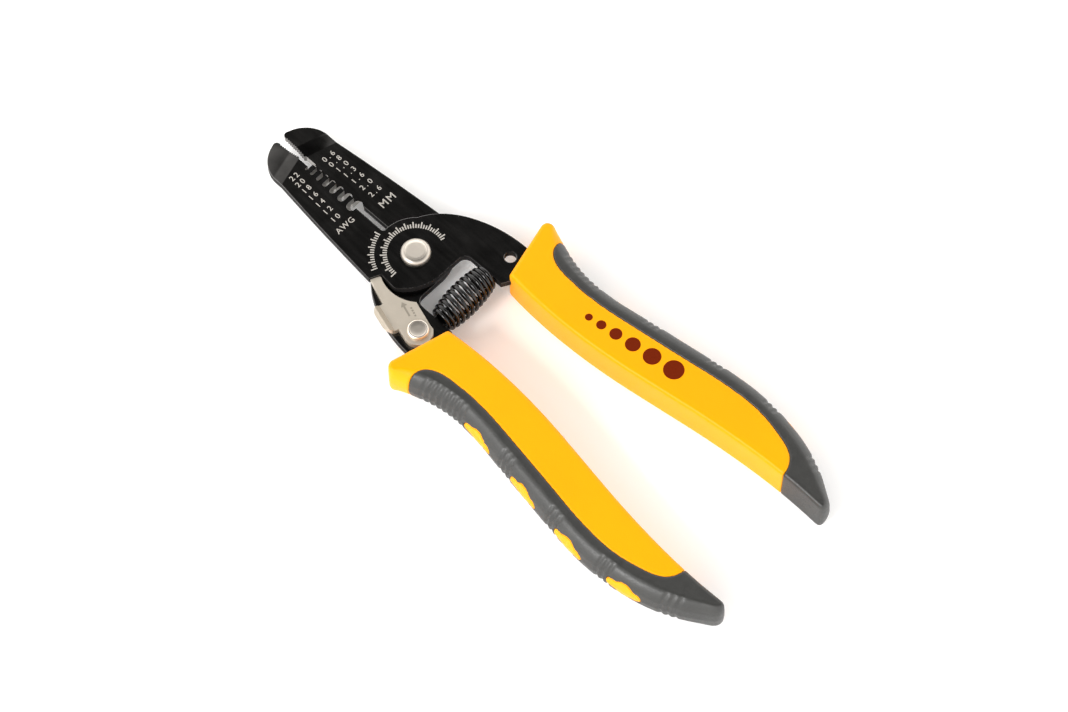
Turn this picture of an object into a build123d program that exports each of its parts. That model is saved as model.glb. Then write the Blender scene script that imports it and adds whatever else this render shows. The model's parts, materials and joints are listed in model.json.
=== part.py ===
from build123d import *
import os
from math import cos, hypot, pi, radians, sin, sqrt, tan

# Wire stripper for solid and stranded wire, locked shut as it is stored.
# Two identical stampings lie on each other and turn on one rivet: the front plate on top and the
# rear plate below, which is the same stamping turned over. Each has a jaw, a hub disc, an arm with
# a lug for the return spring, and a tang that a two-colour grip is moulded on.
# +X points to the jaw tips, +Z up, and the origin lies on the bench under the middle of the tool.
# Sizes are in millimetres. Every outline is drawn from the pivot, for a half whose jaw lies on -Y
# and whose grip lies on +Y. That is the rear half; the front half is turned over about X.

# ---- Driving dimensions ----
PIVOT_X = 37.0             # pivot axis, ahead of the middle of the tool
GRIP_THICKNESS = 11.5
MID_Z = GRIP_THICKNESS / 2
PLATE = 2.2
PLATE_GAP = 0.05           # each plate stays this far from the plane between the two
JAW_SET = 1.2              # degrees that each jaw stands open while the lock holds
BLADE_LAP = 0.75           # how far each cutting edge reaches past the centre line when shut
JAW_CLEARANCE = 0.03       # the flat noses stop this far from the centre line when shut

SHANK_R = 2.5
RUNNING_FIT = 0.04
PIVOT_HEAD_R = 3.95
PIVOT_HEAD = 1.7
PIVOT_TAIL_R = 3.6
PIVOT_TAIL = 0.95

HUB_R = 10.6
HANG_HOLE_R = 1.55
HANG_HOLE = (-18.1, 16.0)

WIRE_SIZES = (0.6, 0.8, 1.0, 1.3, 1.6, 2.0, 2.6)
FIRST_NOTCH_X = 37.9
NOTCH_LAND = 1.33
NOTCH_TILT = 32            # degrees that each notch leans away from the cutting edge

NOSE_DROP = PLATE / 2 + PLATE_GAP
BEND_TURN = 15.7           # degrees between the nose's bend lines and the tool's width
BEND_START = 40.3
BEND_RUN = 3.3
NOSE_TAPER = 0.09          # how much the nose thins for each millimetre towards its tip
FIRST_TOOTH_X = 42.6
TOOTH_COUNT = 10
TOOTH_PITCH = 0.65
TOOTH = 0.4

LOCK_RIVET = (-16.0, 15.2)
LOCK_SHANK_R = 1.5
LOCK_HEAD_R = 2.8
LOCK_HEAD = 1.0
LEVER = 1.8
LEVER_GAP = 0.15           # between the lever's tip and the front plate's shoulder
EAR_LENGTH = 8.2
EAR_RISE = 2.4
EAR_SHEET = 1.3
EAR_TURN = 45              # degrees that the thumb ear is bent up
EAR_CORNER_R = 2.2

SPRING_X = -17.2
SPRING_WIRE = 1.1
SPRING_END_R = 2.7         # to the middle of the wire
SPRING_BULGE = 1.4         # how much wider the spring is at its middle
CLOSED_PITCH = 1.18
CLOSED_TURNS = (3.0, 1.5)  # at the front end and at the rear end
ACTIVE_TURNS = 7.0
SEAT_Y = 8.8
SEAT_GAP = 0.12
LUG_HALF = 1.7
LUG_REACH = 4.4

SLEEVE_INSET = 3.9         # how far the sleeve's round side falls back at its top and bottom
TANG_HALF = 3.0
EDGE_ROUND = 1.0


# ---- Shared geometry ----
def half(side, height=0.0):
    """Sketch plane of a half at a height above the mid plane. side is +1 for rear, -1 for front."""
    return Plane(origin=(PIVOT_X, 0, MID_Z), x_dir=(1, 0, 0), z_dir=(0, 0, side)).offset(height)


def mate_y(x):
    """Where a flat nose ends beside the centre line, with the jaws set open."""
    return -(x * tan(radians(JAW_SET)) + JAW_CLEARANCE)


def blade_y(x):
    """Where a cutting edge runs, past the centre line by its lap."""
    return -x * tan(radians(JAW_SET)) + BLADE_LAP


def on_circle(radius, angle):
    return (radius * cos(radians(angle)), radius * sin(radians(angle)))


def notch_places():
    """Centre and radius of each wire notch, from the jaw tip inwards."""
    places = []
    x = FIRST_NOTCH_X
    for i, size in enumerate(WIRE_SIZES):
        if i:
            x -= (WIRE_SIZES[i - 1] + size) / 2 + NOTCH_LAND
        places.append((x, -x * tan(radians(JAW_SET)), size / 2))
    return places


# ---- Jaw plates ----
SHEET_LOW = -PLATE_GAP - PLATE          # the sheet's outer face, measured from the mid plane
SHEET_HIGH = -PLATE_GAP
SLIT_END_X = 20.7
SLIT_Y = -1.25
SLIT_ROUND = 0.8
BLADE_END_X = 38.15
SLOT_Y = -1.35
NOSE_START_X = 41.9
NOSE_END_X = 49.2
SHOULDER_TOP = (3.35, -13.5)
SHOULDER_FOOT = (1.95, -10.45)


def plate_outline():
    """Closed outline of one stamping in plan, from the slit round the jaw, hub and tang."""
    lug_near, lug_far = SPRING_X + LUG_HALF, SPRING_X - LUG_HALF
    lug_tip = SEAT_Y - LUG_REACH
    slit_start = (HUB_R + SLIT_ROUND, SLIT_Y)
    nose_start = (NOSE_START_X, mate_y(NOSE_START_X))
    nose_end = (NOSE_END_X, mate_y(NOSE_END_X))
    with BuildLine() as outline:
        Polyline(
            slit_start, (SLIT_END_X, SLIT_Y), (SLIT_END_X, blade_y(SLIT_END_X)),
            (BLADE_END_X, blade_y(BLADE_END_X)), (BLADE_END_X, SLOT_Y), (NOSE_START_X - 0.5, SLOT_Y),
        )
        ThreePointArc((NOSE_START_X - 0.5, SLOT_Y), (NOSE_START_X - 0.14, -1.2), nose_start)
        Line(nose_start, nose_end)
        ThreePointArc(nose_end, (49.9, -1.4), (50.2, -2.1))
        ThreePointArc((50.2, -2.1), (48.65, -5.75), (44.4, -8.98))
        ThreePointArc((44.4, -8.98), (43.2, -9.3), (42.0, -9.5))
        ThreePointArc((42.0, -9.5), (18.0, -12.2), SHOULDER_TOP)
        Polyline(SHOULDER_TOP, SHOULDER_FOOT, (-2.3, -10.9))
        ThreePointArc((-2.3, -10.9), (-3.15, -10.85), (-3.75, -10.5))
        ThreePointArc((-3.75, -10.5), (-7.5, -6.1), (-9.0, -1.0))
        Line((-9.0, -1.0), (-9.0, 6.7))
        ThreePointArc((-9.0, 6.7), (-9.65, 8.2), (-11.3, SEAT_Y))
        Polyline(
            (-11.3, SEAT_Y), (lug_near, SEAT_Y), (lug_near, lug_tip), (lug_far, lug_tip),
            (lug_far, SEAT_Y), (-21.7, SEAT_Y), (-23.9, 12.7),
        )
        Spline((-23.9, 12.7), (-40, 12.3), (-60, 14.0), (-80, 17.1), (-94, 18.5))
        Line((-94, 18.5), (-94, 18.5 + 2 * TANG_HALF))
        Spline((-94, 18.5 + 2 * TANG_HALF), (-80, 23.1), (-60, 20.0), (-40, 18.2), (-30, 18.8), (-20, 20.9))
        Spline((-20, 20.9), (-10.8, 20.0), (-5.0, 18.2), (-0.2, 15.8), on_circle(HUB_R, 47))
        ThreePointArc(on_circle(HUB_R, 47), on_circle(HUB_R, 20), on_circle(HUB_R, -4))
        ThreePointArc(on_circle(HUB_R, -4), (HUB_R + 0.18, SLIT_Y + 0.2), slit_start)
    return outline


def cut_teeth():
    """Fine gripping teeth across the flat nose."""
    for i in range(TOOTH_COUNT):
        x = FIRST_TOOTH_X + i * TOOTH_PITCH
        with Locations((x, mate_y(x))):
            Rectangle(TOOTH, TOOTH, rotation=45, mode=Mode.SUBTRACT)


def notch_sketch(side, rise):
    """Outlines of the notches on a plane that stands above the mating face by rise."""
    shift = rise * tan(radians(NOTCH_TILT))
    with BuildSketch(half(side, SHEET_HIGH + rise)) as notches:
        for x, y, r in notch_places():
            with Locations((x, y + shift)):
                Circle(r)
                Rectangle(2 * r, 3, align=(Align.CENTER, Align.MIN))
    return notches.sketch


def cut_notches(side):
    """A round-bottomed groove for each wire size, open to the cutting edge and leaning outwards."""
    rise = 0.5
    lean = radians(NOTCH_TILT)
    through = (PLATE + 2 * rise) / cos(lean)
    into = (0, -side * sin(lean), -side * cos(lean))
    extrude(notch_sketch(side, rise), amount=through, dir=into, mode=Mode.SUBTRACT)


def bend_plane(side):
    """Plane that shows the sheet's joggle in profile: x across the bend lines, y up from the sheet."""
    across = Vector(cos(radians(BEND_TURN)), -side * sin(radians(BEND_TURN)), 0)
    up = Vector(0, 0, side)
    return Plane(origin=(PIVOT_X, 0, MID_Z), x_dir=across, z_dir=across.cross(up))


def jaw_plate(side, label, hole, hole_r):
    """One stamping: sheet with a joggled, tapered nose, wire notches, pivot hole and arm hole."""
    bend_end = BEND_START + BEND_RUN
    past_tip = 52
    thinner = (past_tip - bend_end) * NOSE_TAPER
    with BuildPart() as plate:
        with BuildSketch(half(side, SHEET_LOW - 1)):
            make_face(plate_outline().line.edges())
            cut_teeth()
            Circle(SHANK_R + RUNNING_FIT, mode=Mode.SUBTRACT)
            with Locations(hole):
                Circle(hole_r, mode=Mode.SUBTRACT)
        extrude(amount=2 + PLATE + 2 * NOSE_DROP)
        with BuildSketch(bend_plane(side)):
            with BuildLine():
                Polyline(
                    (-150, SHEET_LOW), (BEND_START, SHEET_LOW),
                    (bend_end, SHEET_LOW + NOSE_DROP), (past_tip, SHEET_LOW + NOSE_DROP + thinner),
                    (past_tip, SHEET_HIGH + NOSE_DROP), (bend_end, SHEET_HIGH + NOSE_DROP),
                    (BEND_START, SHEET_HIGH), (-150, SHEET_HIGH), close=True,
                )
            make_face()
        extrude(amount=80, both=True, mode=Mode.INTERSECT)
        cut_notches(side)
    plate.part.label = label
    return plate


# ---- Grips ----
GRIP_INNER = ((-22.6, 11.0), (-40, 10.15), (-58, 11.4), (-80, 14.7), (-100, 17.05), (-121.6, 17.4))
FLARE = (-18.6, 26.4)
FLARE_MID = (-18.9, 28.6)
# Points round the outside of the grip, each with its share of the sleeve's round side.
GRIP_OUTER = (
    ((-20.9, 29.8), 0.35), ((-27, 27.9), 1.0), ((-33.5, 26.2), 1.0), ((-42, 25.6), 1.0),
    ((-57, 27.6), 1.0), ((-72, 29.9), 1.0), ((-87, 31.75), 1.0), ((-98, 31.3), 1.0),
    ((-108, 29.2), 0.95), ((-117, 25.2), 0.8), ((-121.6, 22.1), 0.6), ((-123.8, 19.9), 0.45),
    ((-123.9, 18.4), 0.3),
)
SLEEVE_EDGE = (
    (-110.1, 17.5), (-109.8, 19.6), (-108.2, 22.2), (-102, 25.0), (-96, 26.25), (-89, 26.5),
    (-81, 25.8), (-70, 24.1), (-57, 22.15), (-42, 20.4), (-34, 20.55), (-28.6, 21.6),
    (-26.0, 23.6), (-25.2, 26.0), (-25.6, 28.5),
)
WINDOW_X = (-47.3, -65.8, -83.4, -101.5)
WINDOW_FOOT_Y = 18.8
WINDOW_LOBE_R = 3.1
WINDOW_SIDE_R = 1.9


def pulled_in(points, depth):
    """Moves the points of an open curve to its left, each by its own share of depth."""
    moved = []
    for i, ((x, y), share) in enumerate(points):
        ahead = points[min(i + 1, len(points) - 1)][0]
        behind = points[max(i - 1, 0)][0]
        dx, dy = ahead[0] - behind[0], ahead[1] - behind[1]
        run = hypot(dx, dy)
        moved.append((x - dy / run * depth * share, y + dx / run * depth * share))
    return moved


def round_depth(height):
    """How far the sleeve's half-round side falls back at a height from the mid plane."""
    return SLEEVE_INSET * (1 - sqrt(1 - (height / MID_Z) ** 2))


def edge_depth(height):
    """How far the small round on the other edges falls back at a height from the mid plane."""
    past = max(0.0, abs(height) - (MID_Z - EDGE_ROUND))
    return EDGE_ROUND - sqrt(max(0.0, EDGE_ROUND**2 - past**2))


def grip_section(height):
    """Outline of the whole grip, core and sleeve together, at a height from the mid plane."""
    edge = edge_depth(height)
    inner = [(x, y + edge) for x, y in GRIP_INNER]
    outer = pulled_in(GRIP_OUTER, round_depth(height))
    inner[0] = (GRIP_INNER[0][0] - edge, GRIP_INNER[0][1] + edge)
    corner = (FLARE[0] - edge, FLARE[1])
    corner_mid = (FLARE_MID[0] - edge, FLARE_MID[1] - edge / 2)
    with BuildLine() as outline:
        Line(inner[0], corner)
        ThreePointArc(corner, corner_mid, outer[0])
        Spline(*outer, inner[-1])
        Spline(*reversed(inner))
    return outline


def grip_body(side):
    """The whole grip as one solid, with a half-round outer side."""
    levels = [MID_Z * sin(radians(angle)) for angle in (0, 28, 45, 57, 68, 79, 90)]
    heights = [-h for h in reversed(levels[1:])] + levels
    with BuildPart() as grip:
        for height in heights:
            with BuildSketch(half(side, height)):
                make_face(grip_section(height).line.edges())
        loft(ruled=True)
    return grip


def window_plane(side, x):
    """Upright plane across the grip at x, looking out of its round side."""
    return Plane(origin=(PIVOT_X + x, 0, MID_Z), x_dir=(1, 0, 0), z_dir=(0, side, 0))


def core_blank(side, grip):
    """The hard core before the tang's pocket: all that lies inside the sleeve's edge line."""
    with BuildPart() as core:
        with BuildSketch(half(side, -MID_Z - 1)):
            with BuildLine():
                Spline(*SLEEVE_EDGE)
                Polyline(
                    SLEEVE_EDGE[-1], (-25.6, 34), (-12, 34), (-12, 6), (-110.1, 6), SLEEVE_EDGE[0],
                )
            make_face()
        extrude(amount=2 * MID_Z + 2)
        for x in WINDOW_X:
            with BuildSketch(window_plane(side, x).offset(WINDOW_FOOT_Y)):
                Circle(WINDOW_LOBE_R)
                with Locations((-WINDOW_LOBE_R, 0.3), (WINDOW_LOBE_R, -0.3)):
                    Circle(WINDOW_SIDE_R)
            extrude(amount=MID_Z * 3)
        add(grip.part, mode=Mode.INTERSECT)
    return core


# ---- Rivets, spring and lock ----
def pivot():
    """The headed rivet that both plates turn on: shank, chamfered head above, set tail below."""
    top = PLATE_GAP + PLATE + RUNNING_FIT
    with BuildPart() as rivet:
        with BuildSketch(half(1, -top)):
            Circle(SHANK_R)
        extrude(amount=2 * top)
        with BuildSketch(half(1, top)):
            Circle(PIVOT_HEAD_R)
        extrude(amount=PIVOT_HEAD)
        with BuildSketch(half(1, -top)):
            Circle(PIVOT_TAIL_R)
        extrude(amount=-PIVOT_TAIL)
        ends = rivet.faces().filter_by(Axis.Z).sort_by(Axis.Z)
        chamfer(ends[-1].edges(), length=0.75, length2=1.2)
        chamfer(ends[0].edges(), length=0.5)
    return rivet


def lock_rivet():
    """The rivet that the lock lever turns on, set through the rear plate's arm."""
    top = LEVER + RUNNING_FIT
    low = SHEET_LOW - RUNNING_FIT
    with BuildPart() as rivet:
        with BuildSketch(half(1, low)):
            with Locations(LOCK_RIVET):
                Circle(LOCK_SHANK_R)
        extrude(amount=top - low)
        with BuildSketch(half(1, top)):
            with Locations(LOCK_RIVET):
                Circle(LOCK_HEAD_R)
        extrude(amount=LOCK_HEAD)
        with BuildSketch(half(1, low)):
            with Locations(LOCK_RIVET):
                Circle(LOCK_HEAD_R - 0.2)
        extrude(amount=-LOCK_HEAD)
        ends = rivet.faces().filter_by(Axis.Z).sort_by(Axis.Z)
        chamfer(ends[-1].edges(), length=0.35)
        chamfer(ends[0].edges(), length=0.3)
    return rivet


def shoulder_x(y):
    """Where the front plate's shoulder lies, across the tool."""
    slope = (SHOULDER_TOP[0] - SHOULDER_FOOT[0]) / (SHOULDER_FOOT[1] - SHOULDER_TOP[1])
    return SHOULDER_FOOT[0] + (y + SHOULDER_FOOT[1]) * slope


def thumb_ear(fold_front, fold_back):
    """The ear along the fold from front to back, bent up and out, with round corners."""
    along = (fold_back - fold_front).normalized()
    outward = Vector(along.Y, -along.X, 0)
    middle = (fold_front + fold_back) / 2
    origin = (PIVOT_X + middle.X, middle.Y, MID_Z)
    rise = radians(EAR_TURN)
    bend_x = 1.1
    tip_x = bend_x + EAR_RISE / tan(rise)
    with BuildPart() as ear:
        with BuildSketch(Plane(origin=origin, x_dir=outward, z_dir=outward.cross(Vector(0, 0, 1)))):
            with BuildLine():
                Polyline(
                    (-0.8, 0), (bend_x, 0), (tip_x, EAR_RISE),
                    (tip_x - EAR_SHEET * sin(rise), EAR_RISE + EAR_SHEET * cos(rise)),
                    (bend_x - EAR_SHEET * sin(rise) + (LEVER - EAR_SHEET * cos(rise)) / tan(rise), LEVER),
                    (-0.8, LEVER), close=True,
                )
            make_face()
        extrude(amount=EAR_LENGTH / 2, both=True)
        with BuildSketch(Plane(origin=origin, x_dir=along, z_dir=(0, 0, 1))) as plan:
            Rectangle(EAR_LENGTH, 2 * tip_x)
            fillet(plan.vertices(), radius=EAR_CORNER_R)
        extrude(amount=10, mode=Mode.INTERSECT)
    return ear


def lock_lever():
    """The stamped lock lever: a finger that stops the shoulder, an arched back and a thumb ear."""
    tip_out, tip_in = 13.25, 11.45
    tip_top = (shoulder_x(tip_out) - LEVER_GAP, tip_out)
    tip_foot = (shoulder_x(tip_in) - LEVER_GAP, tip_in)
    fold_front, fold_back = Vector(-4.4, 16.0), Vector(-12.0, 18.2)
    with BuildPart() as lever:
        with BuildSketch(half(1)):
            with BuildLine():
                Polyline(tip_top, fold_front, fold_back, (-15.2, 19.1))
                ThreePointArc((-15.2, 19.1), (-19.6, 17.2), (-19.4, 13.2))
                Polyline((-19.4, 13.2), (-18.4, 12.2), (-16.9, 11.9), (-9.9, 9.75))
                ThreePointArc((-9.9, 9.75), (-4.2, 12.1), (1.3, 11.05))
                ThreePointArc((1.3, 11.05), (1.95, 11.0), tip_foot)
                Line(tip_foot, tip_top)
            make_face()
            with Locations(LOCK_RIVET):
                Circle(LOCK_SHANK_R + RUNNING_FIT, mode=Mode.SUBTRACT)
        extrude(amount=LEVER)
        add(thumb_ear(fold_front, fold_back).part)
    return lever


def spring_turns():
    """Points along the wire's middle as (turn, distance along the axis, radius)."""
    front_closed, rear_closed = CLOSED_TURNS
    length = 2 * (SEAT_Y - SEAT_GAP) - SPRING_WIRE
    open_pitch = (length - (front_closed + rear_closed) * CLOSED_PITCH) / ACTIVE_TURNS
    total = front_closed + ACTIVE_TURNS + rear_closed
    steps = int(total * 12)
    for i in range(steps + 1):
        turn = total * i / steps
        closed = min(turn, front_closed) + max(0.0, turn - front_closed - ACTIVE_TURNS)
        along = closed * CLOSED_PITCH + min(max(turn - front_closed, 0.0), ACTIVE_TURNS) * open_pitch
        bulge = sin(pi * along / length) ** 0.55 if 0 < along < length else 0.0
        yield turn, along - length / 2, SPRING_END_R + SPRING_BULGE * bulge


def return_spring():
    """The barrel-shaped coil between the two lugs. It leans, because the lugs lie in two layers."""
    lean = (PLATE + 2 * PLATE_GAP) / (2 * SEAT_Y)
    points = []
    for turn, along, radius in spring_turns():
        angle = 2 * pi * turn
        points.append((
            PIVOT_X + SPRING_X + radius * cos(angle), along, MID_Z - along * lean + radius * sin(angle),
        ))
    with BuildPart() as spring:
        with BuildLine():
            coil = Spline(*points)
        with BuildSketch(Plane(origin=coil @ 0, z_dir=coil % 0)):
            Circle(SPRING_WIRE / 2)
        sweep(path=coil, is_frenet=True)
    return spring


def write(part, label):
    part.label = label
    export_step(part, f"parts/{label}.step")
    print(label, [round(solid.volume, 1) for solid in part.solids()], part.is_valid)


os.makedirs("parts", exist_ok=True)

front_plate = jaw_plate(-1, "front_plate", HANG_HOLE, HANG_HOLE_R)
rear_plate = jaw_plate(1, "rear_plate", LOCK_RIVET, LOCK_SHANK_R + RUNNING_FIT)
write(front_plate.part, "front_plate")
write(rear_plate.part, "rear_plate")

for side, name, plate in ((-1, "front", front_plate), (1, "rear", rear_plate)):
    grip = grip_body(side)
    blank = core_blank(side, grip)
    with BuildPart() as core:
        add(blank.part)
        add(plate.part, mode=Mode.SUBTRACT)
    with BuildPart() as sleeve:
        add(grip.part)
        add(blank.part, mode=Mode.SUBTRACT)
    write(core.part, f"{name}_grip_core")
    write(sleeve.part, f"{name}_grip_sleeve")

write(pivot().part, "pivot_rivet")
write(lock_rivet().part, "lock_rivet")
write(lock_lever().part, "lock_lever")
write(return_spring().part, "return_spring")
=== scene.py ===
import json
import math

import bmesh
import bpy
import numpy as np
from mathutils import Matrix, Vector


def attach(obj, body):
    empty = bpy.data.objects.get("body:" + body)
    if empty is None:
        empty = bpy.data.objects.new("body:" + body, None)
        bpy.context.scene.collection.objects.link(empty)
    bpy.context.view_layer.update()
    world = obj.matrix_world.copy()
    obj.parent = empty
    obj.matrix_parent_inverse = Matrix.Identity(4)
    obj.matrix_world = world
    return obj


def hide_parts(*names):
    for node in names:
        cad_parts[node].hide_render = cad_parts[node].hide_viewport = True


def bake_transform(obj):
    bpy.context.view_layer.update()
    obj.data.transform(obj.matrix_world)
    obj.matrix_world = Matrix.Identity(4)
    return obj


# A wire stripper lying locked on a pale studio floor. Metres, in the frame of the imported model.
# Sizes are given in millimetres and turned into metres with MM.

MM = 0.001
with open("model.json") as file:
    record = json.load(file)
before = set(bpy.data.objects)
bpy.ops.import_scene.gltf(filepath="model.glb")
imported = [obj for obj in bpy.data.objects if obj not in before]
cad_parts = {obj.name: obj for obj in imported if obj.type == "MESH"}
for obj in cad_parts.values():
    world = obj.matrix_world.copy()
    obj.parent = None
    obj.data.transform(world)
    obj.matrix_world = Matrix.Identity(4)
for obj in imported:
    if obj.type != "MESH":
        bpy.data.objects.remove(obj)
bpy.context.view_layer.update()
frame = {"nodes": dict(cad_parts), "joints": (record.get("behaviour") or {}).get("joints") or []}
NODES = frame["nodes"]
JOINTS = {j["name"]: j for j in frame["joints"]}
PIVOT = Vector(JOINTS["jaw_open"]["pos_m"])
LOCK_PIVOT = Vector(JOINTS["lock_swing"]["pos_m"])


def local(x, y, z=0.0):
    """A point given in millimetres from the pivot, in the plane between the two jaw plates."""
    return PIVOT + Vector((x, y, z)) * MM


# ---- Materials ----
NOISE_LOW, NOISE_HIGH = 0.3, 0.7        # most of a noise texture's values lie between these


def new_material(name, color, metallic=0.0, roughness=0.5):
    """A Principled material, with its node tree and its shader node."""
    material = bpy.data.materials.new(name)
    material.use_nodes = True
    shader = material.node_tree.nodes["Principled BSDF"]
    shader.inputs["Base Color"].default_value = (*color, 1)
    shader.inputs["Metallic"].default_value = metallic
    shader.inputs["Roughness"].default_value = roughness
    return material, material.node_tree, shader


def noise_node(tree, scale, detail=3.0, stretch=(1, 1, 1)):
    """Noise on the object's own coordinates, in cycles per metre, stretched along an axis if asked."""
    coordinates = tree.nodes.new("ShaderNodeTexCoord")
    mapping = tree.nodes.new("ShaderNodeMapping")
    mapping.inputs["Scale"].default_value = stretch
    texture = tree.nodes.new("ShaderNodeTexNoise")
    texture.inputs["Scale"].default_value = scale
    texture.inputs["Detail"].default_value = detail
    tree.links.new(coordinates.outputs["Object"], mapping.inputs["Vector"])
    tree.links.new(mapping.outputs["Vector"], texture.inputs["Vector"])
    return texture.outputs["Fac"]


def vary(tree, factor, target, low, high):
    """Feeds a socket with a value that runs from low to high over the noise."""
    spread = tree.nodes.new("ShaderNodeMapRange")
    spread.inputs["From Min"].default_value = NOISE_LOW
    spread.inputs["From Max"].default_value = NOISE_HIGH
    spread.inputs["To Min"].default_value = low
    spread.inputs["To Max"].default_value = high
    tree.links.new(factor, spread.inputs["Value"])
    tree.links.new(spread.outputs["Result"], target)


def tint(tree, factor, target, dark, light):
    """Feeds a colour socket with a mix from dark to light over the noise."""
    ramp = tree.nodes.new("ShaderNodeValToRGB")
    ramp.color_ramp.elements[0].position = NOISE_LOW
    ramp.color_ramp.elements[1].position = NOISE_HIGH
    ramp.color_ramp.elements[0].color = (*dark, 1)
    ramp.color_ramp.elements[1].color = (*light, 1)
    tree.links.new(factor, ramp.inputs["Fac"])
    tree.links.new(ramp.outputs["Color"], target)


def bump(tree, shader, heights, strength=0.3):
    """Adds fine relief. heights lists (noise, depth in metres) pairs, laid over each other."""
    normal = None
    for factor, depth in heights:
        node = tree.nodes.new("ShaderNodeBump")
        node.inputs["Strength"].default_value = strength
        node.inputs["Distance"].default_value = depth
        tree.links.new(factor, node.inputs["Height"])
        if normal:
            tree.links.new(normal, node.inputs["Normal"])
        normal = node.outputs["Normal"]
    tree.links.new(normal, shader.inputs["Normal"])


def black_oxide(name, base, roughness, metallic=1.0, specular=0.5):
    """Blackened sheet steel, with faint clouds and fine grinding marks along the tool."""
    material, tree, shader = new_material(name, base, metallic=metallic, roughness=roughness)
    shader.inputs["Specular IOR Level"].default_value = specular
    cloud = noise_node(tree, 220)
    tint(tree, cloud, shader.inputs["Base Color"], [c * 0.8 for c in base], [c * 1.3 for c in base])
    grind = noise_node(tree, 900, 4, (0.12, 1, 1))
    vary(tree, grind, shader.inputs["Roughness"], roughness * 0.85, roughness * 1.25)
    bump(tree, shader, [(grind, 0.00002), (noise_node(tree, 3500, 2), 0.00001)], 0.25)
    return material


def enamel(name, base, roughness):
    """Glossy lacquer on the spring wire."""
    material, tree, shader = new_material(name, base, roughness=roughness)
    shader.inputs["Specular IOR Level"].default_value = 0.42
    cloud = noise_node(tree, 500)
    tint(tree, cloud, shader.inputs["Base Color"], [c * 0.7 for c in base], [c * 1.6 for c in base])
    vary(tree, noise_node(tree, 1500), shader.inputs["Roughness"], roughness * 0.7, roughness * 1.6)
    return material


def nickel(name, base, roughness, metallic=1.0):
    """Bare or plated satin metal with fine pits."""
    material, tree, shader = new_material(name, base, metallic=metallic, roughness=roughness)
    cloud = noise_node(tree, 300)
    tint(tree, cloud, shader.inputs["Base Color"], [c * 0.93 for c in base], base)
    pits = noise_node(tree, 2600, 5)
    vary(tree, pits, shader.inputs["Roughness"], roughness * 0.88, roughness * 1.15)
    bump(tree, shader, [(pits, 0.00001), (noise_node(tree, 7000, 2), 0.000006)], 0.25)
    return material


def moulded_yellow():
    """The hard yellow plastic of the grip cores, with a fine satin grain."""
    base = (0.87, 0.338, 0.0)
    material, tree, shader = new_material("moulded_yellow", base, roughness=0.38)
    shader.inputs["Specular IOR Level"].default_value = 0.16
    shader.inputs["Subsurface Weight"].default_value = 0.08
    shader.inputs["Subsurface Radius"].default_value = (0.002, 0.001, 0.0003)
    cloud = noise_node(tree, 60)
    tint(tree, cloud, shader.inputs["Base Color"], (0.84, 0.325, 0.0), base)
    satin = noise_node(tree, 2600, 3)
    vary(tree, satin, shader.inputs["Roughness"], 0.34, 0.46)
    bump(tree, shader, [(satin, 0.00002), (noise_node(tree, 250, 2), 0.00004)], 0.2)
    return material


def soft_grey():
    """The soft dark rubber of the grip sleeves."""
    base = (0.019, 0.019, 0.0175)
    material, tree, shader = new_material("soft_grey", base, roughness=0.45)
    shader.inputs["Specular IOR Level"].default_value = 0.62
    cloud = noise_node(tree, 350, 4)
    tint(tree, cloud, shader.inputs["Base Color"], (0.016, 0.016, 0.015), (0.023, 0.023, 0.021))
    grain = noise_node(tree, 3000, 3)
    vary(tree, grain, shader.inputs["Roughness"], 0.38, 0.55)
    bump(tree, shader, [(grain, 0.00006), (cloud, 0.00006)], 0.45)
    return material


def printed(name, color, roughness, specular):
    """Ink or etching with a light speckle."""
    material, tree, shader = new_material(name, color, roughness=roughness)
    shader.inputs["Specular IOR Level"].default_value = specular
    speckle = noise_node(tree, 5000, 4)
    tint(tree, speckle, shader.inputs["Base Color"], [c * 0.75 for c in color], color)
    return material


JAW_BLACK = black_oxide("jaw_black", (0.037, 0.036, 0.035), 0.18)
JAW_WALL = black_oxide("jaw_wall", (0.012, 0.011, 0.011), 0.55, metallic=0.0, specular=0.12)
# The bevels' lighter steel is partly worn edge and partly a painted highlight along the chamfers.
JAW_EDGE_WEAR_AND_HIGHLIGHT = black_oxide("jaw_edge_wear_and_highlight", (0.11, 0.107, 0.105), 0.25)
# The front plate's notch walls get a darker copy of the rear plate's ground steel, as painted shade.
NOTCH_SHADE_STEEL = nickel("notch_steel_painted_shade", (0.34, 0.33, 0.315), 0.4)
GROUND_STEEL = nickel("ground_steel", (0.66, 0.64, 0.61), 0.4)
TOOTH_STEEL = nickel("tooth_steel", (0.27, 0.26, 0.25), 0.42)
SPRING_BLACK = enamel("spring_black", (0.0015, 0.0013, 0.0013), 0.09)
# Lit and shaded copies of one plated steel: the rivets take them by which way each face points, as painted
# highlight and painted shade.
RIVET_LIT = nickel("rivet_lit", (0.86, 0.785, 0.69), 0.33, metallic=0.9)
RIVET_SHADED = nickel("rivet_shaded", (0.47, 0.43, 0.38), 0.36, metallic=0.9)
LEVER_METAL = nickel("lever_metal", (0.60, 0.54, 0.455), 0.45, metallic=0.8)
# A darker copy of the lever metal, painted as shade on the thumb ear's sloped faces.
EAR_SHADE_METAL = nickel("lever_ear_painted_shade", (0.37, 0.325, 0.265), 0.45, metallic=0.8)
PRESSED_METAL = nickel("pressed_metal", (0.36, 0.325, 0.27), 0.5, metallic=0.8)
YELLOW = moulded_yellow()
GREY = soft_grey()
ETCH = printed("etched_mark", (0.42, 0.395, 0.36), 0.6, 0.5)
PRINT = printed("printed_mark", (0.14, 0.012, 0.0), 0.55, 0.06)


# ---- Mesh helpers ----
def new_object(name, mesh):
    """An object in the scene that holds a mesh or a curve."""
    obj = bpy.data.objects.new(name, mesh)
    bpy.context.scene.collection.objects.link(obj)
    return obj


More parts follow.
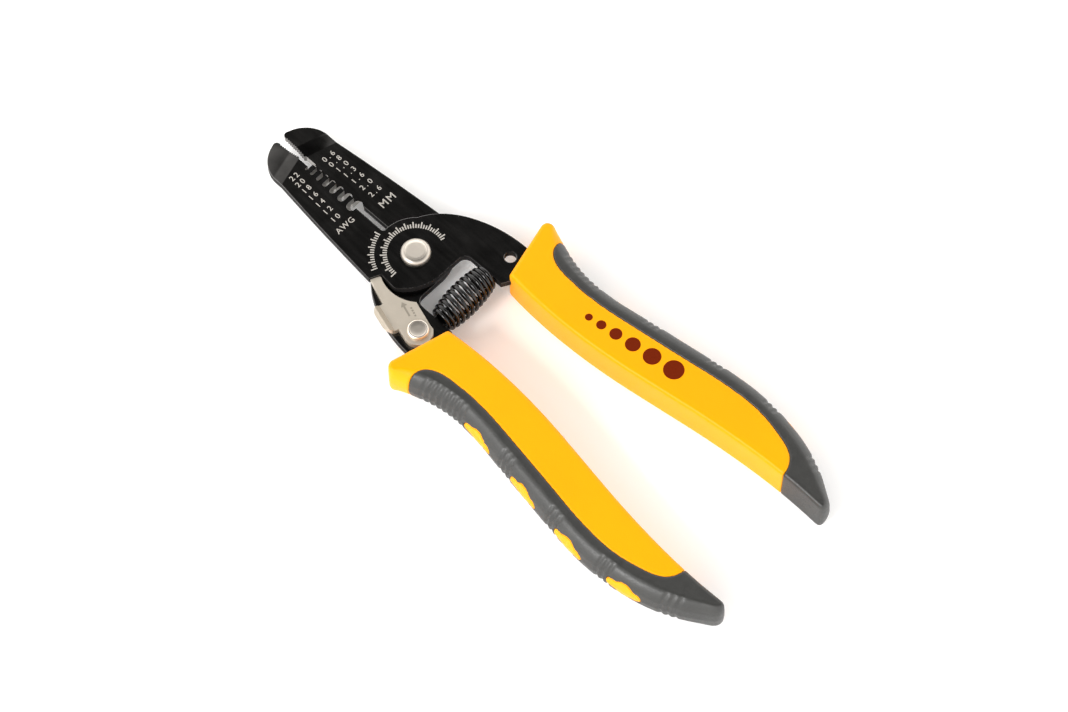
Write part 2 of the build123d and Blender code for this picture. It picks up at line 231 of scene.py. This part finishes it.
def copy_of(node, name):
    """A new object with a cleaned copy of a CAD node's mesh: joined points, flat faces whole."""
    mesh = NODES[node].data.copy()
    mesh.materials.clear()
    obj = new_object(name, mesh)
    bm = bmesh.new()
    bm.from_mesh(mesh)
    bmesh.ops.remove_doubles(bm, verts=bm.verts, dist=0.000001)
    bmesh.ops.dissolve_limit(
        bm, angle_limit=math.radians(0.4), verts=bm.verts, edges=bm.edges, use_dissolve_boundaries=False,
    )
    bm.to_mesh(mesh)
    bm.free()
    if "custom_normal" in mesh.attributes:
        mesh.attributes.remove(mesh.attributes["custom_normal"])
    return obj


def apply_modifiers(obj):
    """Replaces the object's mesh by what its modifiers make of it."""
    graph = bpy.context.evaluated_depsgraph_get()
    made = bpy.data.meshes.new_from_object(obj.evaluated_get(graph))
    obj.modifiers.clear()
    obj.data = made


def smooth_shade(obj, angle=35):
    """Smooth shading that keeps level faces flat and edges sharper than the angle."""
    mesh = obj.data
    bm = bmesh.new()
    bm.from_mesh(mesh)
    for face in bm.faces:
        face.smooth = abs(face.normal.z) < 0.9999
    for edge in bm.edges:
        edge.smooth = len(edge.link_faces) == 2 and edge.calc_face_angle(0) < math.radians(angle)
    bm.to_mesh(mesh)
    bm.free()


def place(obj, body, slot, *replaced):
    """Rides a piece on a body and hides the CAD nodes it replaces. Its slot is not used."""
    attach(obj, body)
    if replaced:
        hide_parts(*replaced)


def lathed(name, profile, center, sides=72):
    """A turned solid from (radius, height) pairs in millimetres, both ends on the axis."""
    bm = bmesh.new()
    rings = []
    for radius, height in profile:
        if radius == 0:
            rings.append([bm.verts.new(center + Vector((0, 0, height)) * MM)])
            continue
        ring = []
        for i in range(sides):
            turn = 2 * math.pi * i / sides
            spot = Vector((radius * math.cos(turn), radius * math.sin(turn), height))
            ring.append(bm.verts.new(center + spot * MM))
        rings.append(ring)
    for low, high in zip(rings, rings[1:]):
        for i in range(sides):
            j = (i + 1) % sides
            corners = [low[i % len(low)], low[j % len(low)], high[j % len(high)], high[i % len(high)]]
            bm.faces.new(list(dict.fromkeys(corners)))
    bmesh.ops.recalc_face_normals(bm, faces=bm.faces)
    mesh = bpy.data.meshes.new(name)
    bm.to_mesh(mesh)
    bm.free()
    return new_object(name, mesh)


def tube(name, points, radius, sides=12):
    """A round wire along a list of points, closed at both ends."""
    bm = bmesh.new()
    across = Vector((0, 0, 1))
    rings = []
    for i, point in enumerate(points):
        ahead = (points[min(i + 1, len(points) - 1)] - points[max(i - 1, 0)]).normalized()
        across = (across - ahead * across.dot(ahead)).normalized()
        other = ahead.cross(across)
        ring = []
        for k in range(sides):
            turn = 2 * math.pi * k / sides
            out = across * math.cos(turn) + other * math.sin(turn)
            ring.append(bm.verts.new(point + out * radius))
        rings.append(ring)
    for low, high in zip(rings, rings[1:]):
        for k in range(sides):
            bm.faces.new((low[k], low[(k + 1) % sides], high[(k + 1) % sides], high[k]))
    bm.faces.new(list(reversed(rings[0])))
    bm.faces.new(rings[-1])
    mesh = bpy.data.meshes.new(name)
    bm.to_mesh(mesh)
    bm.free()
    return new_object(name, mesh)


def slab(name, outlines, low, high, material):
    """A thin raised mark: each outline, in millimetres from the pivot, between two heights."""
    bm = bmesh.new()
    for outline in outlines:
        bottom = [bm.verts.new(local(x, y, low)) for x, y in outline]
        top = [bm.verts.new(local(x, y, high)) for x, y in outline]
        bm.faces.new(top)
        bm.faces.new(list(reversed(bottom)))
        for i in range(len(outline)):
            j = (i + 1) % len(outline)
            bm.faces.new((bottom[i], bottom[j], top[j], top[i]))
    bmesh.ops.recalc_face_normals(bm, faces=bm.faces)
    mesh = bpy.data.meshes.new(name)
    bm.to_mesh(mesh)
    bm.free()
    mesh.materials.append(material)
    return new_object(name, mesh)


# ---- Jaw plates ----
PLATE_TOP = {"front_plate": 2.25, "rear_plate": -0.05}
WALL, TEETH, CUT, EDGE = 1, 2, 3, 4     # places in a plate's list of materials; its flats have 0
TEETH_FROM_X = 41.2
CUT_FROM_X = 20.0
CUT_REACH_Y = 3.2           # the cutting edges and notches lie this close to the centre line
KEEN_FROM_X = 17            # edges beyond this and within KEEN_REACH_Y stay sharp
KEEN_REACH_Y = 3.4


def paint_plate(bm):
    """Gives each wall of a plate its material. Faces that point up or down keep that of the flats."""
    for face in bm.faces:
        if abs(face.normal.z) >= 0.6:
            continue
        middle = (face.calc_center_median() - PIVOT) / MM
        face.material_index = WALL
        if abs(middle.y) < CUT_REACH_Y and middle.x > CUT_FROM_X:
            face.material_index = TEETH if middle.x > TEETH_FROM_X else CUT


def weigh_edges(bm):
    """Marks the plate's outer edges for the bevel, and leaves out cutting edges and corners."""
    weights = bm.edges.layers.float.new("bevel_weight_edge")
    for edge in bm.edges:
        ends = [vert.co for vert in edge.verts]
        middle = ((ends[0] + ends[1]) / 2 - PIVOT) / MM
        cutting = abs(middle.y) < KEEN_REACH_Y and middle.x > KEEN_FROM_X
        sharp = edge.calc_face_angle(0) > math.radians(50)
        upright = abs(ends[0].z - ends[1].z) > 1.2 * MM
        if sharp and not cutting and not upright:
            edge[weights] = 1


def bevelled_plate(node, body, cut_metal):
    """A jaw plate: glossy flats, matt sheared walls, ground teeth, and softened outer edges in a lighter
    steel that is partly wear and partly a painted highlight.
    """
    plate = copy_of(node, node + "_finished")
    for material in (JAW_BLACK, JAW_WALL, TOOTH_STEEL, cut_metal, JAW_EDGE_WEAR_AND_HIGHLIGHT):
        plate.data.materials.append(material)
    bm = bmesh.new()
    bm.from_mesh(plate.data)
    paint_plate(bm)
    weigh_edges(bm)
    bm.to_mesh(plate.data)
    bm.free()
    bevel = plate.modifiers.new("edges", "BEVEL")
    bevel.width = 0.16 * MM
    bevel.segments = 2
    bevel.limit_method = "WEIGHT"
    bevel.material = EDGE
    bevel.use_clamp_overlap = False
    apply_modifiers(plate)
    smooth_shade(plate, 28)
    place(plate, body, "jaw_black", node)


# The front plate's notch walls take the darker steel: painted shade.
bevelled_plate("front_plate", "front_half", NOTCH_SHADE_STEEL)
bevelled_plate("rear_plate", "rear_half", GROUND_STEEL)


# ---- Marks on the plates ----
MARK_RAISE = 0.012          # half the thickness of the marks on the plates
LETTER_WEIGHT = 0.006       # how much the letters are thickened, as a share of their size


def lettering(name, words, plate, body):
    """Etched numbers. words lists (text, x, y, size, spacing); lines run towards -Y, tops to +X."""
    bm = bmesh.new()
    turned = Matrix.Rotation(math.radians(-90), 4, "Z")
    for text, x, y, size, spacing in words:
        curve = bpy.data.curves.new(name, "FONT")
        curve.body = text
        curve.size = size * MM
        curve.space_character = spacing
        curve.align_x = "CENTER"
        curve.align_y = "CENTER"
        curve.offset = LETTER_WEIGHT * size * MM
        curve.extrude = MARK_RAISE * MM
        curve.resolution_u = 3
        writing = new_object(name + "_line", curve)
        graph = bpy.context.evaluated_depsgraph_get()
        mesh = bpy.data.meshes.new_from_object(writing.evaluated_get(graph))
        mesh.transform(Matrix.Translation(local(x, y, PLATE_TOP[plate])) @ turned)
        bm.from_mesh(mesh)
        bpy.data.objects.remove(writing)
        bpy.data.curves.remove(curve)
        bpy.data.meshes.remove(mesh)
    made = bpy.data.meshes.new(name)
    bm.to_mesh(made)
    bm.free()
    made.materials.append(ETCH)
    marks = new_object(name, made)
    place(marks, body, "jaw_black")


GAUGES = ("22", "20", "18", "16", "14", "12", "10")
SIZES = ("0.6", "0.8", "1.0", "1.3", "1.6", "2.0", "2.6")
NUMBER_SIZE = 2.2
# The numbers stand beside their notches, which lie further apart as they grow.
awg_words = [
    (text, 38.4 - 2.35 * i - 0.062 * i * i, 5.9 + 0.19 * i, NUMBER_SIZE, 1.45)
    for i, text in enumerate(GAUGES)
]
awg_words.append(("AWG", 18.7, 6.85, 2.3, 1.15))
mm_words = [
    (text, 37.5 - 2.2 * i - 0.08 * i * i, -5.4 - 0.18 * i, NUMBER_SIZE, 1.55)
    for i, text in enumerate(SIZES)
]
mm_words.append(("MM", 17.2, -6.75, 3.05, 1.2))
lettering("awg_numbers", awg_words, "front_plate", "front_half")
lettering("mm_numbers", mm_words, "rear_plate", "rear_half")


SHORT_TICK = 0.62           # the shorter ticks' share of the full length


def arc_ticks(radius, first, last, step, length, width):
    """Outlines of short radial bars on an arc round the pivot. Every third bar is longer."""
    outlines = []
    for i in range(int(abs(last - first) / step) + 1):
        turn = math.radians(first + math.copysign(step, last - first) * i)
        out = Vector((math.cos(turn), math.sin(turn)))
        side = Vector((-out.y, out.x)) * width / 2
        reach = length if i % 3 == 0 else length * SHORT_TICK
        near, far = out * (radius - length / 2), out * (radius - length / 2 + reach)
        outlines.append([tuple(near - side), tuple(far - side), tuple(far + side), tuple(near + side)])
    return outlines


ticks = arc_ticks(8.3, 92, -104, 4.9, 1.8, 0.36) + arc_ticks(11.5, 68, 12, 3.6, 1.7, 0.34)
top = PLATE_TOP["front_plate"]
angle_marks = slab("angle_marks", ticks, top - MARK_RAISE, top + MARK_RAISE, ETCH)
place(angle_marks, "front_half", "jaw_black")


# ---- Rivets ----
# Half sections as (radius, height) in millimetres, from the tail up to the head.
PIVOT_PROFILE = (
    (0, -3.2), (2.9, -3.2), (3.3, -3.1), (3.52, -2.85), (3.6, -2.55), (3.6, -2.29), (2.5, -2.29),
    (2.5, 2.29), (3.86, 2.29), (3.95, 2.4), (3.95, 2.7), (3.9, 3.0), (3.76, 3.3), (3.52, 3.56),
    (3.2, 3.76), (2.85, 3.88), (2.55, 3.93), (2.2, 3.95), (1.2, 3.95), (0, 3.95),
)
LOCK_PROFILE = (
    (0, -3.25), (1.9, -3.25), (2.2, -3.12), (2.35, -2.85), (2.35, -2.29), (1.5, -2.29), (1.5, 1.84),
    (2.72, 1.84), (2.8, 1.95), (2.8, 2.3), (2.75, 2.52), (2.62, 2.7), (2.42, 2.8), (2.26, 2.82),
    (2.14, 2.79), (2.02, 2.75), (0.9, 2.73), (0, 2.73),
)


def rivet(node, profile, body, center, level_metal, round_metal):
    """A turned rivet with one metal on its level faces and another on its rounds; the two are lit and
    shaded copies, so this paints highlight and shade by the faces' slope.
    """
    turned = lathed(node + "_turned", profile, center)
    turned.data.materials.append(level_metal)
    turned.data.materials.append(round_metal)
    for polygon in turned.data.polygons:
        polygon.material_index = 0 if abs(polygon.normal.z) > 0.97 else 1
    smooth_shade(turned, 50)
    place(turned, body, "rivet_steel", node)


rivet("pivot_rivet", PIVOT_PROFILE, "pivot", PIVOT, RIVET_LIT, RIVET_SHADED)
rivet("lock_rivet", LOCK_PROFILE, "rear_half", LOCK_PIVOT, RIVET_SHADED, RIVET_LIT)


# ---- Lock lever ----
ARROW_LOW, ARROW_HIGH = 1.75, 1.86      # the lever's face lies between these heights
ARROW_BAR = [(-8.6, 12.55), (-11.6, 13.55), (-11.45, 14.0), (-8.45, 13.0)]
ARROW_HEAD = [(-7.3, 12.4), (-8.75, 11.9), (-8.3, 13.55)]
DASH = [(-12.3, 12.35), (-12.75, 12.5), (-12.6, 12.95), (-12.15, 12.8)]
DASH_STEP = (0.75, -0.27)
DASH_COUNT = 4


def lever():
    """The stamped lever with rolled edges, and a darker copy of its metal painted as shade on the sloped
    faces where its thumb ear is folded.
    """
    plate = copy_of("lock_lever", "lock_lever_stamped")
    plate.data.materials.append(LEVER_METAL)
    bevel = plate.modifiers.new("rolled", "BEVEL")
    bevel.width = 0.22 * MM
    bevel.segments = 3
    bevel.limit_method = "ANGLE"
    bevel.angle_limit = math.radians(42)
    bevel.use_clamp_overlap = True
    apply_modifiers(plate)
    plate.data.materials.append(EAR_SHADE_METAL)
    # Sloped faces, mostly on the thumb ear, take the darker copy as painted shade.
    for polygon in plate.data.polygons:
        if 0.3 < polygon.normal.z < 0.9 and polygon.area > 1.0 * MM * MM:
            polygon.material_index = 1
    smooth_shade(plate, 40)
    place(plate, "lock", "lever_nickel", "lock_lever")


def lever_marks():
    """An arrow and a row of dashes on the lever's face."""
    step_x, step_y = DASH_STEP
    dashes = [[(x + k * step_x, y + k * step_y) for x, y in DASH] for k in range(DASH_COUNT)]
    arrow = slab("lock_arrow", [ARROW_BAR, ARROW_HEAD] + dashes, ARROW_LOW, ARROW_HIGH, PRESSED_METAL)
    place(arrow, "lock", "lever_nickel")


lever()
lever_marks()


# ---- Return spring ----
SPRING_X = -17.2
SEAT_Y = 8.8
SEAT_GAP = 0.12
SPRING_WIRE = 1.1
SPRING_END_R = 2.7          # to the middle of the wire
SPRING_BULGE = 1.4          # how much wider the spring is at its middle
CLOSED_PITCH = 1.18
CLOSED_TURNS = (3.0, 1.5)   # at the front end and at the rear end
ACTIVE_TURNS = 7.0
SPRING_LEAN = 2.3 / (2 * SEAT_Y)        # it drops from the front plate's level to the rear one's
STEPS_PER_TURN = 24


def spring_points(first_turn, last_turn):
    """Points along the barrel-shaped spring's wire between two turns, counted from the front seat."""
    front_closed, rear_closed = CLOSED_TURNS
    length = 2 * (SEAT_Y - SEAT_GAP) - SPRING_WIRE
    open_pitch = (length - (front_closed + rear_closed) * CLOSED_PITCH) / ACTIVE_TURNS
    steps = round((last_turn - first_turn) * STEPS_PER_TURN)
    points = []
    for i in range(steps + 1):
        turn = first_turn + (last_turn - first_turn) * i / steps
        closed = min(turn, front_closed) + max(0.0, turn - front_closed - ACTIVE_TURNS)
        along = closed * CLOSED_PITCH + min(max(turn - front_closed, 0.0), ACTIVE_TURNS) * open_pitch
        share = min(max(along / length, 0.0), 1.0)
        radius = SPRING_END_R + SPRING_BULGE * max(0.0, math.sin(math.pi * share)) ** 0.55
        angle = 2 * math.pi * turn
        x = SPRING_X + radius * math.cos(angle)
        y = along - length / 2
        z = radius * math.sin(angle) - y * SPRING_LEAN
        points.append(local(x, y, z))
    return points


def spring_piece(name, first_turn, last_turn):
    """Part of the spring as a wire between two turns, left where it lies at rest."""
    piece = tube(name, spring_points(first_turn, last_turn), SPRING_WIRE / 2 * MM)
    piece.data.materials.append(SPRING_BLACK)
    smooth_shade(piece, 60)
    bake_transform(piece)
    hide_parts("return_spring")


total_turns = sum(CLOSED_TURNS) + ACTIVE_TURNS
spring_piece("return_spring_end", 0, CLOSED_TURNS[0])
spring_piece("return_spring_coil", CLOSED_TURNS[0], total_turns)


# ---- Grips ----
GRIP_FLAT = 5.73            # the flats lie this far from the mid plane, just inside the CAD's
VOXEL = 0.3
SMOOTHING = 6


def remeshed(node, name):
    """A CAD grip part as an even quad mesh with softly rounded edges."""
    obj = copy_of(node, name)
    remesh = obj.modifiers.new("even", "REMESH")
    remesh.mode = "VOXEL"
    remesh.voxel_size = VOXEL * MM
    smooth = obj.modifiers.new("soften", "SMOOTH")
    smooth.factor = 0.5
    smooth.iterations = SMOOTHING
    apply_modifiers(obj)
    for polygon in obj.data.polygons:
        polygon.use_smooth = True
    for vertex in obj.data.vertices:
        height = vertex.co.z - PIVOT.z
        vertex.co.z = PIVOT.z + max(-GRIP_FLAT * MM, min(GRIP_FLAT * MM, height))
    return obj


RIB_PITCH = 1.75
RIB_DEPTH = 0.36
# Where each group of grooves starts along the grip, and how many it has.
RIB_GROUPS = ((-28.0, 8), (-55.6, 3), (-74.6, 3), (-92.5, 3), (-110.5, 3))


def groove_depth(x):
    """Depth of the grooves between the moulded ribs at a place along the grip, in millimetres."""
    for start, count in RIB_GROUPS:
        along = (start - x) / RIB_PITCH
        if 0 <= along <= count:
            ends = min(1.0, 4 * min(along, count - along) / count + 0.4)
            return RIB_DEPTH * ends * (0.5 - 0.5 * math.cos(2 * math.pi * along))
    return 0.0


def groove(sleeve, side):
    """Cuts shallow grooves across the sleeve's round outer side, which leave ribs between them."""
    mesh = sleeve.data
    count = len(mesh.vertices)
    points = np.zeros(count * 3, np.float32)
    normals = np.zeros(count * 3, np.float32)
    mesh.vertices.foreach_get("co", points)
    mesh.vertices.foreach_get("normal", normals)
    points = points.reshape(-1, 3)
    normals = normals.reshape(-1, 3)
    outward = np.clip((normals[:, 1] * side - 0.25) / 0.4, 0, 1)
    depths = np.array([groove_depth(x) for x in (points[:, 0] - PIVOT.x) / MM])
    points -= normals * (outward * depths * MM)[:, None]
    mesh.vertices.foreach_set("co", points.ravel())
    mesh.update()


def grip(name, body, side):
    """One grip: its yellow core and its grooved grey sleeve. side is -1 for front and +1 for rear."""
    core = remeshed(f"{name}_grip_core", f"{name}_grip_core_moulded")
    core.data.materials.append(YELLOW)
    place(core, body, "grip_yellow", f"{name}_grip_core")
    sleeve = remeshed(f"{name}_grip_sleeve", f"{name}_grip_sleeve_moulded")
    sleeve.data.materials.append(GREY)
    groove(sleeve, side)
    place(sleeve, body, "grip_grey", f"{name}_grip_sleeve")


grip("front", "front_half", -1)
grip("rear", "rear_half", 1)


# ---- Printed wire sizes on the front grip ----
DOT_DIAMETERS = (5.4, 4.7, 4.0, 3.3, 2.6, 2.0)
DOT_GAP = 1.5
DOTS_MIDDLE = Vector((-59.0, -18.1))
DOTS_START = 15.0           # how far the row starts behind its middle
DOTS_SLOPE = math.radians(8.9)
DOT_SIDES = 48


def wire_dots():
    """A plain row of dots that shrink like wire sizes, printed on the grip's flat top."""
    along = Vector((math.cos(DOTS_SLOPE), math.sin(DOTS_SLOPE)))
    turns = [2 * math.pi * i / DOT_SIDES for i in range(DOT_SIDES)]
    outlines = []
    behind = DOTS_START
    for diameter in DOT_DIAMETERS:
        radius = diameter / 2
        center = DOTS_MIDDLE + along * (radius - behind)
        behind -= diameter + DOT_GAP
        outlines.append([(center.x + math.cos(t) * radius, center.y + math.sin(t) * radius) for t in turns])
    mark = slab("wire_dots", outlines, GRIP_FLAT - 0.01, GRIP_FLAT + 0.02, PRINT)
    place(mark, "front_half", "grip_yellow")


wire_dots()


# ---- Studio ----
FLOOR_REACH = 3.0


def studio_floor():
    """White paper under the tool. It glows a little, so that the shadows on it stay light."""
    mesh = bpy.data.meshes.new("studio_floor")
    corners = [(x * FLOOR_REACH, y * FLOOR_REACH, 0) for x, y in ((-1, -1), (1, -1), (1, 1), (-1, 1))]
    mesh.from_pydata(corners, [], [(0, 1, 2, 3)])
    floor = new_object("studio_floor", mesh)
    material, _, shader = new_material("studio_paper", (0.975, 0.975, 0.975), roughness=0.8)
    shader.inputs["Emission Color"].default_value = (1, 1, 1, 1)
    shader.inputs["Emission Strength"].default_value = 0.09
    mesh.materials.append(material)


KEY_PLACE = Vector((0.1, 1.0, 0.75))
KEY_SIZE = (0.45, 0.26)
KEY_POWER = 10


def key_light():
    """A small soft box high on the rear grip's side, aimed at the frame's origin."""
    data = bpy.data.lights.new("key", "AREA")
    data.shape = "RECTANGLE"
    data.size, data.size_y = KEY_SIZE
    data.energy = KEY_POWER
    light = bpy.data.objects.new("key", data)
    bpy.context.scene.collection.objects.link(light)
    light.location = KEY_PLACE
    light.rotation_mode = "QUATERNION"
    light.rotation_quaternion = (-KEY_PLACE).to_track_quat("-Z", "Y")


CAMERA_AZIMUTH = math.radians(224.11)
CAMERA_ELEVATION = math.radians(62.76)
CAMERA_DISTANCE = 0.8565
CAMERA_LENS = 115.5
CAMERA_TARGET = local(-43.42, 1.49, 5.75)


def studio_camera():
    """A long lens that looks down on the tool from over the rear grip's side."""
    data = bpy.data.cameras.new("camera")
    data.lens = CAMERA_LENS
    data.sensor_width = 36
    data.clip_start = 0.01
    camera = bpy.data.objects.new("camera", data)
    bpy.context.scene.collection.objects.link(camera)
    level = math.cos(CAMERA_ELEVATION)
    back = Vector((
        math.sin(CAMERA_AZIMUTH) * level, -math.cos(CAMERA_AZIMUTH) * level, math.sin(CAMERA_ELEVATION),
    ))
    camera.location = CAMERA_TARGET + back * CAMERA_DISTANCE
    camera.rotation_mode = "QUATERNION"
    camera.rotation_quaternion = (-back).to_track_quat("-Z", "Y")
    bpy.context.scene.camera = camera


WORLD_STRENGTH = 2.25
# Brightness of the surroundings as (sine of the height angle, level).
WORLD_STOPS = ((0.0, 1.0), (0.45, 1.0), (0.79, 0.6), (0.85, 0.06), (1.0, 0.03))


def studio_world():
    """A light tent: bright walls to about 55 degrees up, and a dark opening overhead."""
    world = bpy.data.worlds.new("studio")
    world.use_nodes = True
    tree = world.node_tree
    background = tree.nodes["Background"]
    background.inputs["Strength"].default_value = WORLD_STRENGTH
    direction = tree.nodes.new("ShaderNodeTexCoord")
    parts = tree.nodes.new("ShaderNodeSeparateXYZ")
    ramp = tree.nodes.new("ShaderNodeValToRGB")
    tree.links.new(direction.outputs["Generated"], parts.inputs["Vector"])
    tree.links.new(parts.outputs["Z"], ramp.inputs["Fac"])
    tree.links.new(ramp.outputs["Color"], background.inputs["Color"])
    elements = ramp.color_ramp.elements
    while len(elements) < len(WORLD_STOPS):
        elements.new(0.5)
    for element, (position, level) in zip(elements, WORLD_STOPS):
        element.position = position
        element.color = (level, level * 0.985, level * 0.965, 1)
    bpy.context.scene.world = world


studio_floor()
studio_camera()
studio_world()
key_light()
bpy.context.scene.view_settings.view_transform = "Standard"
